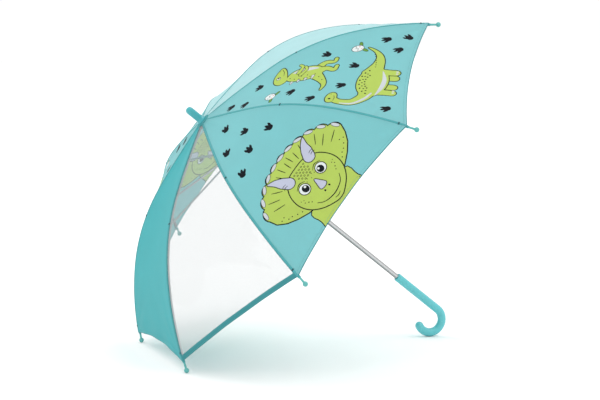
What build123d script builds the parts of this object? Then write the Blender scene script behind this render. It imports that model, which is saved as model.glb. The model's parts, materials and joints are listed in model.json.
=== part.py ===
"""Children's umbrella, open and lying on two rib tips and the bend of its hook.

The row frame has +Z up and the floor at Z = 0. The shaft lies in the XZ plane and runs down towards +X.
Every piece is drawn in the umbrella's own frame: R is the distance from the shaft's axis, W the distance
along it from the top of the canopy towards the handle, and an angle round the shaft, which starts at the
side that faces the floor and grows towards -Y.
"""

from build123d import *
from math import asin, atan2, cos, degrees, hypot, radians, sin
import os

# ---- driving dimensions, millimetres and degrees ----
RIB_COUNT = 8
DOME_START_HEADING = 7.6
DOME_ARCS = ((134.0, 4.8), (147.0, 23.4), (124.0, 13.6))  # length and turn of each arc, crown to hem
FABRIC_THICKNESS = 1.0
PLAIN_HEM_SAG = 12.0
WINDOW_HEM_SAG = 4.0
WINDOW_PANELS = (2,)

SHAFT_RADIUS = 4.0
SHAFT_WALL = 0.6
SHAFT_TOP = -16.0
FERRULE_LENGTH = 31.8
FERRULE_RADIUS = 6.3
FLANGE_RADIUS = 8.0
FLANGE_BOTTOM = 0.5
FIT_GAP = 0.02

PIVOT_RADIUS = 8.0
CROWN_PIVOT_W = 6.0
CROWN_RADIUS = 10.5
CROWN_TOP = 3.2
CROWN_BOTTOM = 10.0
WIRE_RADIUS = 0.6
SLOT_WIDTH = 1.8
SLOT_FLOOR_RADIUS = 5.6
EYE_RADIUS = 2.0
EYE_HOLE_RADIUS = 0.68
TONGUE_THICKNESS = 1.2

RIB_INSET = 1.6
RIB_WIDTH = 3.2
RIB_HEIGHT = 3.0
CHANNEL_WALL = 0.5
RIB_CHANNEL_START = 17.0
RIB_CHANNEL_END_GAP = 6.0
RIB_LENGTH_ENDS = (120.0, 230.0, 310.0)
RIB_PIN_RADIUS = 0.9
RIB_PIN_INSET = 2.7
RIVET_STATION = 188.0
RIVET_INSET = 3.5
RIVET_RADIUS = 0.6
RIVET_HEAD_RADIUS = 1.1
RIVET_HEAD_HEIGHT = 0.4
JOINT_EYE_RADIUS = 1.15
JOINT_HOLE_RADIUS = 0.66

STRETCHER_WIDTH = 2.6
STRETCHER_HEIGHT = 2.4

TIP_BALL_RADIUS = 4.0
TIP_BALL_REACH = 15.0
TIP_NECK_RADIUS = 1.7

RUNNER_RADIUS = 10.5
SLEEVE_RADIUS = 6.5
SLEEVE_LENGTH = 36.0
RUNNER_CLEARANCE = 0.1
WINDOW_WIDTH = 3.4

HANDLE_START = 433.0
HANDLE_STRAIGHT = 95.5
HOOK_RADIUS = 21.8
HOOK_TURN = 206.0
HANDLE_RADIUS = 7.0
SOCKET_DEPTH = 50.0

CLOSED_TIP_RADIUS = 13.0
CATCH_ANGLE = 270.0
CATCH_WIDTH = 2.0
CATCH_HEAD_RADIUS = 6.1
CATCH_HEAD_LENGTH = 11.0


# ---- the dome curve: tangent arcs in the (R, W) plane of a rib ----
DOME_LENGTH = sum(length for length, turn in DOME_ARCS)


def dome_arcs(start, end, inset):
    """Centre, radius, first angle and sweep of each arc between two stations, moved inwards by inset."""
    found = []
    r, w = 0.0, 0.0
    heading = DOME_START_HEADING
    station = 0.0
    for length, turn in DOME_ARCS:
        radius = length / radians(turn)
        centre = (r - radius * sin(radians(heading)), w + radius * cos(radians(heading)))
        low, high = max(start, station), min(end, station + length)
        if high - low > 1e-6:
            first = heading - 90 + turn * (low - station) / length
            found.append((centre, radius - inset, first, turn * (high - low) / length))
        heading += turn
        station += length
        r = centre[0] + radius * sin(radians(heading))
        w = centre[1] - radius * cos(radians(heading))
    return found


def dome_heading(station):
    """Heading of the dome curve at a station, in degrees below the crown's plane."""
    heading = DOME_START_HEADING
    passed = 0.0
    for length, turn in DOME_ARCS:
        share = min(max((station - passed) / length, 0.0), 1.0)
        heading += turn * share
        passed += length
    return heading


def dome_point(station, inset=0.0):
    """(R, W) of the dome curve at a station measured along the fabric, moved inwards by inset."""
    if station <= 0:
        heading = radians(DOME_START_HEADING)
        return (station * cos(heading) - inset * sin(heading), station * sin(heading) + inset * cos(heading))
    centre, radius, first, sweep = dome_arcs(0.0, station, inset)[-1]
    last = radians(first + sweep)
    return (centre[0] + radius * cos(last), centre[1] + radius * sin(last))


# ---- the folding linkage: the rib's inner length equals the stretcher's, so both swing alike ----
JOINT_POINT = dome_point(RIVET_STATION, RIVET_INSET)
ARM_LENGTH = hypot(JOINT_POINT[0] - PIVOT_RADIUS, JOINT_POINT[1] - CROWN_PIVOT_W)
OPEN_ANGLE = degrees(atan2(JOINT_POINT[0] - PIVOT_RADIUS, JOINT_POINT[1] - CROWN_PIVOT_W))
RUNNER_PIVOT_W = CROWN_PIVOT_W + 2 * ARM_LENGTH * cos(radians(OPEN_ANGLE))

TIP_HEADING = radians(dome_heading(DOME_LENGTH))
TIP_ROOT = dome_point(DOME_LENGTH, RIB_PIN_INSET)
BALL_R = TIP_ROOT[0] + TIP_BALL_REACH * cos(TIP_HEADING)
BALL_W = TIP_ROOT[1] + TIP_BALL_REACH * sin(TIP_HEADING)
TIP_SWING_LENGTH = hypot(BALL_R - PIVOT_RADIUS, BALL_W - CROWN_PIVOT_W)
TIP_OPEN_ANGLE = degrees(atan2(BALL_R - PIVOT_RADIUS, BALL_W - CROWN_PIVOT_W))
FOLD_ANGLE = TIP_OPEN_ANGLE - degrees(asin((CLOSED_TIP_RADIUS - PIVOT_RADIUS) / TIP_SWING_LENGTH))
CLOSED_RUNNER_W = CROWN_PIVOT_W + 2 * ARM_LENGTH * cos(radians(OPEN_ANGLE - FOLD_ANGLE))

# ---- how it lies: a straight floor line touches the two lower tip balls and the outside of the hook ----
HALF_STEP = 180.0 / RIB_COUNT
BEND_START = HANDLE_START + HANDLE_STRAIGHT
BALL_DROP = BALL_R * cos(radians(HALF_STEP))
CONTACT_SPAN = hypot(BEND_START - BALL_W, BALL_DROP - HOOK_RADIUS)
LEAN = degrees(
    atan2(BALL_DROP - HOOK_RADIUS, BEND_START - BALL_W)
    - asin((HOOK_RADIUS + HANDLE_RADIUS - TIP_BALL_RADIUS) / CONTACT_SPAN)
)

AXIS = Vector(cos(radians(LEAN)), 0, -sin(radians(LEAN)))
DOWN = Vector(-sin(radians(LEAN)), 0, -cos(radians(LEAN)))
SIDE = Vector(0, -1, 0)


def radial(angle):
    return DOWN * cos(radians(angle)) + SIDE * sin(radians(angle))


def tangent(angle):
    return SIDE * cos(radians(angle)) - DOWN * sin(radians(angle))


def rib_angle(number):
    return (number - 1.5) * 360.0 / RIB_COUNT


def reach_along_x():
    """Lowest and highest X of the umbrella from the crown, from the dome of each rib, its ball and the hook."""
    low, high = 0.0, 0.0
    for number in range(1, RIB_COUNT + 1):
        out = radial(rib_angle(number)).X
        for step in range(201):
            r, w = dome_point(DOME_LENGTH * step / 200)
            low = min(low, r * out + w * AXIS.X)
        ball = BALL_R * out + BALL_W * AXIS.X
        low = min(low, ball - TIP_BALL_RADIUS)
        high = max(high, ball + TIP_BALL_RADIUS)
    hook = BEND_START * AXIS.X + HOOK_RADIUS * DOWN.X + HOOK_RADIUS + HANDLE_RADIUS
    return low, max(high, hook)


X_LOW, X_HIGH = reach_along_x()
APEX_Z = BALL_DROP * cos(radians(LEAN)) + BALL_W * sin(radians(LEAN)) + TIP_BALL_RADIUS
APEX = Vector(-(X_LOW + X_HIGH) / 2, 0, APEX_Z)
SHAFT_AXIS = Axis(APEX, AXIS)


def rib_plane(angle):
    """The plane through the shaft at an angle round it, with local x as R and local y as W."""
    return Plane(origin=APEX, x_dir=radial(angle), z_dir=tangent(angle))


def cross_plane(w):
    """The plane across the shaft at W, facing the handle."""
    return Plane(origin=APEX + AXIS * w, x_dir=DOWN, z_dir=AXIS)


def place(angle, r, w):
    """The point of the row frame at an angle, R and W."""
    return APEX + radial(angle) * r + AXIS * w


# ---- drawing helpers, used inside a sketch ----
def bar(start, end, height, shift=0.0):
    """A straight strip from start to end, moved sideways by shift to the left of its direction."""
    run = (end[0] - start[0], end[1] - start[1])
    length = hypot(*run)
    left = (-run[1] / length, run[0] / length)
    middle = ((start[0] + end[0]) / 2 + left[0] * shift, (start[1] + end[1]) / 2 + left[1] * shift)
    with Locations(Location((middle[0], middle[1], 0), (0, 0, degrees(atan2(run[1], run[0]))))):
        Rectangle(length, height)


def between(start, end, distance):
    """The point at a distance from start on the way to end."""
    share = distance / hypot(end[0] - start[0], end[1] - start[1])
    return (start[0] + (end[0] - start[0]) * share, start[1] + (end[1] - start[1]) * share)


def finish(builder, name):
    builder.part.label = name
    export_step(builder.part, f"parts/{name}.step")


# ---- shaft ----
TOP_CATCH_W = RUNNER_PIVOT_W + 5.0 + SLEEVE_LENGTH + 0.4
WINDOW_START = 20.0
BOTTOM_CATCH_W = CLOSED_RUNNER_W + WINDOW_START + 0.4


def make_shaft():
    with BuildPart() as shaft_tube:
        with BuildSketch(cross_plane(SHAFT_TOP)):
            Circle(SHAFT_RADIUS)
            Circle(SHAFT_RADIUS - SHAFT_WALL, mode=Mode.SUBTRACT)
        extrude(amount=HANDLE_START + SOCKET_DEPTH - SHAFT_TOP)
        with BuildSketch(rib_plane(CATCH_ANGLE)):
            with Locations(*((SHAFT_RADIUS, start + CATCH_HEAD_LENGTH / 2) for start in (TOP_CATCH_W, BOTTOM_CATCH_W))):
                Rectangle(SHAFT_RADIUS, CATCH_HEAD_LENGTH + 0.8)
        extrude(amount=CATCH_WIDTH / 2 + 0.3, both=True, mode=Mode.SUBTRACT)
    finish(shaft_tube, "shaft_tube")


# ---- ferrule, washer, crown and its wire ----
def make_ferrule():
    with BuildPart() as ferrule:
        with BuildSketch(rib_plane(0)):
            with BuildLine():
                Polyline(
                    (0, -FERRULE_LENGTH),
                    (0, FLANGE_BOTTOM),
                    (FLANGE_RADIUS, FLANGE_BOTTOM),
                    (FLANGE_RADIUS, -1.6),
                    (FERRULE_RADIUS + 0.9, -3.0),
                    (FERRULE_RADIUS, -6.0),
                    (FERRULE_RADIUS, -24.0),
                )
                Spline(
                    (FERRULE_RADIUS, -24.0),
                    (4.6, -30.0),
                    (0, -FERRULE_LENGTH),
                    tangents=((0, -1), (-1, 0)),
                )
            make_face()
        revolve(axis=SHAFT_AXIS)
        with BuildSketch(cross_plane(SHAFT_TOP)):
            Circle(SHAFT_RADIUS + FIT_GAP)
        extrude(amount=FLANGE_BOTTOM - SHAFT_TOP, mode=Mode.SUBTRACT)
    finish(ferrule, "ferrule")


def make_washer():
    with BuildPart() as top_washer:
        with BuildSketch(cross_plane(FLANGE_BOTTOM)):
            Circle(SLOT_FLOOR_RADIUS)
            Circle(SHAFT_RADIUS + FIT_GAP, mode=Mode.SUBTRACT)
        extrude(amount=CROWN_TOP - FLANGE_BOTTOM)
    finish(top_washer, "top_washer")


def make_wire(pivot_w, name):
    with BuildPart() as wire:
        with BuildSketch(rib_plane(0)):
            with Locations((PIVOT_RADIUS, pivot_w)):
                Circle(WIRE_RADIUS)
        revolve(axis=SHAFT_AXIS)
    finish(wire, name)


def make_hub(name, pivot_w, open_side, steps, bore, window=None):
    """A notched ring on the shaft: steps of (start, end, radius), slots open outwards and to one side."""
    top = min(start for start, end, radius in steps)
    bottom = max(end for start, end, radius in steps)
    near, far = pivot_w - 2.2 * open_side, pivot_w + 9.0 * open_side
    with BuildPart() as hub:
        for start, end, radius in steps:
            with BuildSketch(cross_plane(start)):
                Circle(radius)
            extrude(amount=end - start)
        with BuildSketch(cross_plane(top)):
            Circle(bore)
        extrude(amount=bottom - top, mode=Mode.SUBTRACT)
        for number in range(1, RIB_COUNT + 1):
            with BuildSketch(rib_plane(rib_angle(number))):
                with Locations((SLOT_FLOOR_RADIUS + 4, (near + far) / 2)):
                    Rectangle(8, abs(far - near))
            extrude(amount=SLOT_WIDTH / 2, both=True, mode=Mode.SUBTRACT)
        with BuildSketch(rib_plane(0)):
            with Locations((PIVOT_RADIUS - WIRE_RADIUS - 0.1 + 2.5, pivot_w)):
                Rectangle(5, 2 * WIRE_RADIUS + 0.2)
        revolve(axis=SHAFT_AXIS, mode=Mode.SUBTRACT)
        if window:
            with BuildSketch(rib_plane(CATCH_ANGLE)):
                with Locations((SLEEVE_RADIUS, (window[0] + window[1]) / 2)):
                    Rectangle(SLEEVE_RADIUS, window[1] - window[0])
            extrude(amount=WINDOW_WIDTH / 2, both=True, mode=Mode.SUBTRACT)
    finish(hub, name)
    make_wire(pivot_w, f"{name}_wire")


def make_crown():
    steps = ((CROWN_TOP, CROWN_BOTTOM, CROWN_RADIUS), (CROWN_BOTTOM, CROWN_BOTTOM + 6, SLOT_FLOOR_RADIUS))
    make_hub("crown", CROWN_PIVOT_W, 1, steps, SHAFT_RADIUS + FIT_GAP)


def make_runner():
    pivot = RUNNER_PIVOT_W
    steps = (
        (pivot - 4.0, pivot + 3.2, RUNNER_RADIUS),
        (pivot - 10.0, pivot - 4.0, SLOT_FLOOR_RADIUS),
        (pivot + 3.2, pivot + 5.0 + SLEEVE_LENGTH, SLEEVE_RADIUS),
    )
    window = (pivot + WINDOW_START, pivot + WINDOW_START + CATCH_HEAD_LENGTH + 0.8)
    make_hub("runner", pivot, -1, steps, SHAFT_RADIUS + RUNNER_CLEARANCE, window)


# ---- catches: a wedge on a spring leaf inside the tube ----
def make_catch(name, start, shoulder_first):
    """The flat shoulder meets the runner. It is at the crown end of the head, or at the handle end."""
    end = start + CATCH_HEAD_LENGTH
    root = 1.6
    if shoulder_first:
        head = ((root, start), (CATCH_HEAD_RADIUS, start), (CATCH_HEAD_RADIUS, start + 3), (root + 1, end), (root, end))
    else:
        head = ((root, start), (root + 1, start), (CATCH_HEAD_RADIUS, end - 3), (CATCH_HEAD_RADIUS, end), (root, end))
    with BuildPart() as catch:
        with BuildSketch(rib_plane(CATCH_ANGLE)):
            with BuildLine():
                Polyline(*head, close=True)
            make_face()
            with Locations((root - 0.2, start + 17)):
                Rectangle(0.5, 34)
        extrude(amount=CATCH_WIDTH / 2, both=True)
    finish(catch, name)


# ---- handle ----
def make_handle():
    bend_centre = (HOOK_RADIUS, BEND_START)
    last = radians(180 - HOOK_TURN)
    hook_end = (bend_centre[0] + HOOK_RADIUS * cos(last), bend_centre[1] + HOOK_RADIUS * sin(last))
    with BuildPart() as handle:
        with BuildLine(rib_plane(0)) as path:
            Line((0, HANDLE_START), (0, BEND_START))
            CenterArc(bend_centre, HOOK_RADIUS, 180, -HOOK_TURN)
        with BuildSketch(cross_plane(HANDLE_START)):
            Circle(HANDLE_RADIUS)
        sweep(path=path.wires()[0])
        chamfer(handle.edges().sort_by(SHAFT_AXIS)[0], 0.8)
        with Locations(place(0, *hook_end)):
            Sphere(HANDLE_RADIUS)
        with BuildSketch(cross_plane(HANDLE_START)):
            Circle(SHAFT_RADIUS + FIT_GAP)
        extrude(amount=SOCKET_DEPTH, mode=Mode.SUBTRACT)
    finish(handle, "handle")


# ---- ribs, tips and stretchers ----
def make_rib(number):
    """A steel channel in lengths that butt, with a flat eye at the crown, a round end and a rivet."""
    plane = rib_plane(rib_angle(number))
    channel_end = DOME_LENGTH - RIB_CHANNEL_END_GAP
    stations = (RIB_CHANNEL_START, *RIB_LENGTH_ENDS, channel_end)
    neck = dome_point(RIB_CHANNEL_START + 4, RIB_INSET + 1.3)
    sections = (
        (RIB_INSET, RIB_WIDTH / 2, Mode.ADD),
        (RIB_INSET + CHANNEL_WALL, RIB_WIDTH / 2 - CHANNEL_WALL, Mode.SUBTRACT),
    )
    lengths = []
    for start, end in zip(stations, stations[1:]):
        with BuildPart() as channel:
            for low, half_width, mode in sections:
                high = RIB_INSET + RIB_HEIGHT
                with BuildSketch(plane):
                    with BuildLine():
                        for centre, radius, first, sweep_angle in dome_arcs(start, end, low):
                            CenterArc(centre, radius, first, sweep_angle)
                        for centre, radius, first, sweep_angle in dome_arcs(start, end, high):
                            CenterArc(centre, radius, first, sweep_angle)
                        for station in (start, end):
                            Line(dome_point(station, low), dome_point(station, high))
                    make_face()
                extrude(amount=half_width, both=True, mode=mode)
            if start == stations[0]:
                with BuildSketch(plane):
                    bar((PIVOT_RADIUS, CROWN_PIVOT_W), neck, 2.4)
                    with Locations((PIVOT_RADIUS, CROWN_PIVOT_W)):
                        Circle(EYE_RADIUS)
                extrude(amount=TONGUE_THICKNESS / 2, both=True)
                with BuildSketch(plane):
                    with Locations((PIVOT_RADIUS, CROWN_PIVOT_W)):
                        Circle(EYE_HOLE_RADIUS)
                extrude(amount=RIB_WIDTH, both=True, mode=Mode.SUBTRACT)
            if start < RIVET_STATION < end:
                with BuildSketch(plane):
                    with Locations(JOINT_POINT):
                        Circle(RIVET_RADIUS + FIT_GAP)
                extrude(amount=RIB_WIDTH, both=True, mode=Mode.SUBTRACT)
            if end == channel_end:
                pin_start = dome_point(channel_end - 8, RIB_PIN_INSET)
                with BuildSketch(pin_plane(number, pin_start, dome_point(DOME_LENGTH, RIB_PIN_INSET))):
                    Circle(RIB_PIN_RADIUS)
                extrude(amount=20)
        lengths.append(channel.part)
    with BuildPart() as rivet:
        for side in (1, -1):
            with BuildSketch(plane.offset(side * RIB_WIDTH / 2)):
                with Locations(JOINT_POINT):
                    Circle(RIVET_HEAD_RADIUS)
            extrude(amount=side * RIVET_HEAD_HEIGHT)
        with BuildSketch(plane):
            with Locations(JOINT_POINT):
                Circle(RIVET_RADIUS)
        extrude(amount=RIB_WIDTH / 2, both=True)
    rib = Compound(label=f"rib_{number}", children=[*lengths, rivet.part])
    export_step(rib, f"parts/rib_{number}.step")


def pin_plane(number, start, end):
    """The plane across the rib's round end, at start and facing end, both (R, W) in the rib's plane."""
    angle = rib_angle(number)
    origin = place(angle, *start)
    return Plane(origin=origin, x_dir=tangent(angle), z_dir=(place(angle, *end) - origin).normalized())


def make_tip(number):
    angle = rib_angle(number)
    beyond = (TIP_ROOT[0] + cos(TIP_HEADING), TIP_ROOT[1] + sin(TIP_HEADING))
    across = pin_plane(number, TIP_ROOT, beyond)
    with BuildPart() as tip:
        with BuildSketch(across.offset(1.0)):
            Circle(TIP_NECK_RADIUS)
        extrude(amount=TIP_BALL_REACH - 1.0)
        with Locations(place(angle, BALL_R, BALL_W)):
            Sphere(TIP_BALL_RADIUS)
        with BuildSketch(across):
            Circle(RIB_PIN_RADIUS + 0.15)
        extrude(amount=9, mode=Mode.SUBTRACT)
    finish(tip, f"tip_{number}")


def make_stretcher(number):
    plane = rib_plane(rib_angle(number))
    inner = (PIVOT_RADIUS, RUNNER_PIVOT_W)
    outer = JOINT_POINT
    with BuildPart() as stretcher:
        with BuildSketch(plane):
            bar(between(inner, outer, 8), between(outer, inner, 9), STRETCHER_HEIGHT)
        extrude(amount=STRETCHER_WIDTH / 2, both=True)
        with BuildSketch(plane):
            bar(between(inner, outer, 7), between(outer, inner, 8), STRETCHER_HEIGHT, CHANNEL_WALL)
        extrude(amount=STRETCHER_WIDTH / 2 - CHANNEL_WALL, both=True, mode=Mode.SUBTRACT)
        with BuildSketch(plane):
            bar(inner, between(inner, outer, 14), 2.0)
            bar(outer, between(outer, inner, 14), 2.0)
            with Locations(inner):
                Circle(EYE_RADIUS)
            with Locations(outer):
                Circle(JOINT_EYE_RADIUS)
        extrude(amount=TONGUE_THICKNESS / 2, both=True)
        with BuildSketch(plane):
            with Locations(inner):
                Circle(EYE_HOLE_RADIUS)
            with Locations(outer):
                Circle(JOINT_HOLE_RADIUS)
        extrude(amount=TONGUE_THICKNESS, both=True, mode=Mode.SUBTRACT)
    finish(stretcher, f"stretcher_{number}")


# ---- canopy: each gore is two thin solids that meet on its fold line ----
GORE_INNER_STATION = 7.2
SEAM_GAP = 0.25
FOLD_GAP = 0.2
GORE_STEPS_ALONG = 4
GORE_BANDS = (0.0, 0.16, 0.3, 0.42, 0.53, 0.64, 0.75, 0.87, 1.0)
GORE_STEPS_ACROSS = 4


def hem_station(share, sag):
    """Where the gore ends along the dome, at a share of the way from the seam to the fold line."""
    return DOME_LENGTH - sag * (2 * share - share * share)


def gore_point(panel, side, station, share):
    """A point of half a gore: share 0 is beside the rib on that side and 1 is beside the fold line."""
    r, w = dome_point(station)
    middle = rib_angle(panel) + HALF_STEP
    half_width = r * sin(radians(HALF_STEP))
    across = half_width - SEAM_GAP - share * (half_width - SEAM_GAP - FOLD_GAP)
    return APEX + radial(middle) * r * cos(radians(HALF_STEP)) + tangent(middle) * across * side + AXIS * w


def make_half_gore(panel, half):
    """Half a is beside the panel's own rib and half b is beside the next one. Each is eight bands that butt."""
    side = -1 if half == "a" else 1
    sag = WINDOW_HEM_SAG if panel in WINDOW_PANELS else PLAIN_HEM_SAG
    shares = [j / GORE_STEPS_ACROSS for j in range(GORE_STEPS_ACROSS + 1)]
    bands = []
    for low, high in zip(GORE_BANDS, GORE_BANDS[1:]):
        rows = []
        for i in range(GORE_STEPS_ALONG + 1):
            along = low + (high - low) * i / GORE_STEPS_ALONG
            stations = [GORE_INNER_STATION + (hem_station(v, sag) - GORE_INNER_STATION) * along for v in shares]
            rows.append([gore_point(panel, side, station, share) for station, share in zip(stations, shares)])
        outer_face = Face.make_surface_from_array_of_points(rows, tol=0.02, min_deg=3, max_deg=6)
        with BuildPart() as band:
            extrude(outer_face, amount=FABRIC_THICKNESS, dir=AXIS)
        bands.append(band.part)
    gore = Compound(label=f"panel_{panel}{half}", children=bands)
    export_step(gore, f"parts/panel_{panel}{half}.step")


# ---- build everything ----
os.makedirs("parts", exist_ok=True)
make_shaft()
make_ferrule()
make_washer()
make_crown()
make_runner()
make_catch("top_catch", TOP_CATCH_W, True)
make_catch("bottom_catch", BOTTOM_CATCH_W, False)
make_handle()
for number in range(1, RIB_COUNT + 1):
    make_rib(number)
    make_tip(number)
    make_stretcher(number)
    make_half_gore(number, "a")
    make_half_gore(number, "b")
print("lean", round(LEAN, 2), "fold", round(FOLD_ANGLE, 2), "runner", round(RUNNER_PIVOT_W, 2), round(CLOSED_RUNNER_W, 2))
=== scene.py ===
import json
from math import cos, hypot, pi, radians, sin

import bpy
import numpy as np
from mathutils import Matrix, Vector
from mathutils.geometry import delaunay_2d_cdt


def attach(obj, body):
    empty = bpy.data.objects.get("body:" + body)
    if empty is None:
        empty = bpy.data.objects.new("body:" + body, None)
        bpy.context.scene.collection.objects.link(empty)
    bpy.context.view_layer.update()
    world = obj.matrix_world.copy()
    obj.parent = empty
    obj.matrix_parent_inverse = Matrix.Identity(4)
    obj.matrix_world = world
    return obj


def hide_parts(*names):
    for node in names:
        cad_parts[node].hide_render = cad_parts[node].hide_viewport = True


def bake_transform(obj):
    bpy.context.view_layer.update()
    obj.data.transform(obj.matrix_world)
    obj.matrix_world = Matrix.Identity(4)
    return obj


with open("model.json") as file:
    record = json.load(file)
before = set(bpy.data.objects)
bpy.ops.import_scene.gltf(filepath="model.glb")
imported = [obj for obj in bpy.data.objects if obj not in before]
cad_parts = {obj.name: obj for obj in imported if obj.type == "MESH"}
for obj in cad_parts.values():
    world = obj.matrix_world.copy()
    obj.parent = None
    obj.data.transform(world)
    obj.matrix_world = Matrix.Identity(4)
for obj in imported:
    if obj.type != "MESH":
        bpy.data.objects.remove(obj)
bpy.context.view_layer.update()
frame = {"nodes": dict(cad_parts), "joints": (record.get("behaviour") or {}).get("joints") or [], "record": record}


MM = 0.001
RIBS = 8
HALF = pi / RIBS

# ---- the umbrella's own frame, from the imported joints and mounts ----
joints = {joint["name"]: joint for joint in frame["joints"]}
rib_joints = [joints["fold the canopy"]] + [joints[f"rib {i} on the crown"] for i in range(2, RIBS + 1)]


def unit(v):
    return v / np.linalg.norm(v)


record = frame["record"]
SLOTS = {part["node"]: part["material_slot"] for part in record["subparts"]}
mount = [m for m in record["mounts"] if m["name"] == "ferrule_end"][0]
AXIS = -unit(np.array(mount["axis"], float))
HUB = np.mean([j["pos_m"] for j in rib_joints], axis=0)
CROWN_TOP = 6
APEX = HUB - AXIS * CROWN_TOP * MM
OUT = [unit(np.array(j["pos_m"], float) - HUB) for j in rib_joints]
TURN = [unit(np.array(j["axis"], float)) for j in rib_joints]
MID_OUT = [unit(OUT[i] + OUT[(i + 1) % RIBS]) for i in range(RIBS)]
MID_TURN = [unit(TURN[i] + TURN[(i + 1) % RIBS]) for i in range(RIBS)]

# ---- the dome's curve, as in the CAD: three tangent arcs, in millimetres ----
# Each arc is a length and a turn in degrees. A station is a length along the rib from the crown.
DOME_START_HEADING = 7.6
DOME_ARCS = ((134.0, 4.8), (147.0, 23.4), (124.0, 13.6))
DOME_LENGTH = 405.0
INNER_STATION = 7.4

# ---- the gores, in millimetres: how far the hem curves in, the gap at a seam, the place of a flat corner ----
PLAIN_SAG, WINDOW_SAG = 12.0, 4.0
WINDOWS = (2,)
CLOTH_THICKNESS = 0.34
SEAM_GAP = 0.3
FOLD_LENGTH = 381
CORNER_WIDTH = 136
HEM_BAND, WINDOW_BAND = 6.5, 8.4
SEAM_TAPE = 2.9
# HEM_EDGE is the width of the strip along each hem that is painted in the dark tape colour: painted shade of the
# hem's edge.
HEM_EDGE = 1.1


def dome_table(step=0.5):
    """Rows of station, distance from the axis and depth under the crown."""
    rows = []
    for k in range(int(DOME_LENGTH / step) + 1):
        station = k * step
        r = w = 0.0
        heading = radians(DOME_START_HEADING)
        left = station
        for length, turn in DOME_ARCS:
            radius = length / radians(turn)
            used = min(left, length)
            centre = (r - radius * sin(heading), w + radius * cos(heading))
            heading += used / radius
            r, w = centre[0] + radius * sin(heading), centre[1] - radius * cos(heading)
            left -= used
            if left <= 1e-9:
                break
        rows.append((station, r, w))
    return np.array(rows)


DOME = dome_table()
# Along a gore's fold line: its distance from the axis, and its length from the crown.
MID_U = DOME[:, 1] * cos(HALF)
MID_Y = np.concatenate([[0], np.cumsum(np.hypot(np.diff(MID_U), np.diff(DOME[:, 2])))])


def at_station(station):
    """The y of a station: the length along the fold line at the same depth."""
    return np.interp(station, DOME[:, 0], MID_Y)


def half_width(y):
    """Half the gore's width at y, its distance from the crown along the fold line."""
    return np.interp(y, MID_Y, DOME[:, 1]) * sin(HALF)


def ramp(x, low, high):
    t = np.clip((x - low) / (high - low), 0, 1)
    return t * t * (3 - 2 * t)


def hem_curve(panel, steps=48):
    """|x| and y along the hem, from the fold line to the seam."""
    sag = WINDOW_SAG if panel in WINDOWS else PLAIN_SAG
    share = np.linspace(1, 0, steps)
    station = DOME_LENGTH - sag * (2 * share - share**2)
    y = at_station(station)
    return (half_width(y) - SEAM_GAP) * (1 - share), y


HEMS = {panel: hem_curve(panel) for panel in range(1, RIBS + 1)}


def hem_distance(panel, x, y):
    """How far a flat point lies in from the hem."""
    hx, hy = HEMS[panel]
    return np.interp(np.abs(x), hx, hy) - y


def relief(panel, x, y):
    """How far the cloth stands off its cylinder, in millimetres, outwards positive."""
    hw = np.maximum(half_width(y), 1e-3)
    share = np.clip(1 - np.abs(x) / hw, 0, 1)
    free = ramp(share, 0.0, 0.22)
    along = np.clip(y / FOLD_LENGTH, 0, 1)
    hem = hem_distance(panel, x, y)
    phase = panel * 1.7
    lift = -2.6 * np.sin(pi * along) * (1 - (x / hw) ** 2)
    lift += 0.45 * np.exp(-y / 55) * np.cos(7 * x / hw + phase) * free
    for side in (-1, 1):
        dx, dy = x - side * CORNER_WIDTH, y - FOLD_LENGTH
        distance = np.hypot(dx, dy)
        angle = np.arctan2(-dy, -dx * side)
        fan = np.sin(angle * 15 + phase + side) * ramp(distance, 8, 60)
        lift += free * 0.75 * np.exp(-distance / 75) * fan
    lift += free * 0.55 * np.exp(-np.abs(hem) / 28) * np.sin(x / 13 + phase)
    if panel in WINDOWS:
        return lift + free * 0.8 * np.sin(x / 24 + 0.6 * np.sin(y / 31) + phase) * np.sin(y / 38 + phase)
    return lift + free * 0.35 * np.sin(x / 31 + y / 70 + phase) * np.sin(y / 46 + 2 * phase)


def cylinder(panel, x, y):
    """Points of a gore that bends along its length only."""
    u = np.interp(y, MID_Y, MID_U)
    w = np.interp(y, MID_Y, DOME[:, 2])
    i = panel - 1
    return APEX + MM * (u[:, None] * MID_OUT[i] + x[:, None] * MID_TURN[i] + w[:, None] * AXIS)


def cloth_point(panel, x, y, lift=0.0):
    """Points of the gore's outer face and their outward normals, from flat (x, y) in millimetres."""
    x, y = np.asarray(x, float), np.asarray(y, float)
    i = panel - 1
    low, high = np.clip(y - 2.0, 0, FOLD_LENGTH), np.clip(y + 2.0, 0.1, FOLD_LENGTH)
    du = np.interp(high, MID_Y, MID_U) - np.interp(low, MID_Y, MID_U)
    dw = np.interp(high, MID_Y, DOME[:, 2]) - np.interp(low, MID_Y, DOME[:, 2])
    size = np.hypot(du, dw)
    along = (du / size)[:, None] * MID_OUT[i] + (dw / size)[:, None] * AXIS
    flat_normal = (dw / size)[:, None] * MID_OUT[i] - (du / size)[:, None] * AXIS
    h = 1.0
    slope_x = (relief(panel, x + h, y) - relief(panel, x - h, y)) / (2 * h)
    slope_y = (relief(panel, x, y + h) - relief(panel, x, y - h)) / (2 * h)
    normal = flat_normal - slope_x[:, None] * MID_TURN[i] - slope_y[:, None] * along
    normal /= np.linalg.norm(normal, axis=1)[:, None]
    height = relief(panel, x, y) + lift
    return cylinder(panel, x, y) + MM * height[:, None] * flat_normal, normal


# ---- materials ----
def linear(rgb):
    shares = [c / 255 for c in rgb]
    return tuple(c / 12.92 if c <= 0.04045 else ((c + 0.055) / 1.055) ** 2.4 for c in shares)


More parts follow.
